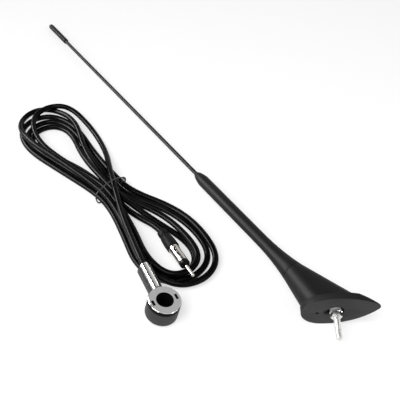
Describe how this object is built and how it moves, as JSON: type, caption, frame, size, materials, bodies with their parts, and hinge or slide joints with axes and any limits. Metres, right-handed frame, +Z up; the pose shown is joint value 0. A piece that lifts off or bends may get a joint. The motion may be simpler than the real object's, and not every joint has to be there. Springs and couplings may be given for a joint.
{
  "type": "car antenna",
  "caption": "Roof antenna for a car, lying on its side: black whip in a tapered sleeve on a leaning foot with a threaded stud, beside its hank of feeder lead with ring connector and plug.",
  "frame": {"origin": "on the table, below the middle of the antenna's own box, the lead left out", "axes": "+Z up from the table, +Y away from the viewer, +X to the right; the antenna lies with its foot at -Y and its tip at +Y"},
  "size_m": [0.3356, 0.4938, 0.0378],
  "materials": {
    "soft_black": "soft black with a fine grain",
    "whip_black": "black coating, half matte",
    "rubber": "matte black rubber",
    "brass": "turned brass",
    "cast_alloy": "cast, matte",
    "plated_steel": "bright zinc plating",
    "nickel": "bright nickel plating",
    "grey_plastic": "dark grey, satin",
    "black_oxide": "steel, blackened",
    "black_plastic": "black",
    "cable_jacket": "black, smooth and a little glossy",
    "tie_plastic": "black"
  },
  "bodies": {
    "foot": {"foot_housing": "soft_black", "foot_bush": "brass", "contact_strap": "brass", "carrier_plate": "cast_alloy", "mounting_stud": "plated_steel", "foot_gasket": "rubber", "lock_washer": "plated_steel", "hex_nut": "plated_steel", "cable_hank": "cable_jacket", "cable_ring_tail": "cable_jacket", "cable_plug_tail": "cable_jacket", "cable_tie": "tie_plastic", "ring_body": "grey_plastic", "ring_contact": "nickel", "contact_disc": "black_oxide", "plug_boot": "grey_plastic", "plug_sleeve": "nickel", "plug_insulator": "black_plastic", "plug_pin": "nickel"},
    "mast_carriage": {"mast_seal": "rubber"},
    "mast": {"tip_cap": "soft_black", "whip_rod": "whip_black", "mast_sleeve": "soft_black", "mast_ferrule": "brass"}
  },
  "joints": [
    {"name": "mast_lift", "type": "slide", "parent": "foot", "child": "mast_carriage", "axis": [-0.5358, 0.8439, -0.0278], "range_m": [0, 0.002]},
    {"name": "mast_turn", "type": "hinge", "parent": "mast_carriage", "child": "mast", "pos_m": [0.10544, -0.18175, 0.01707], "axis": [-0.5358, 0.8439, -0.0278], "range_deg": [0, 720]}
  ],
  "couplings": [
    {"joint": "mast_lift", "follows": "mast_turn", "m_per_rad": 0.00012732}
  ]
}
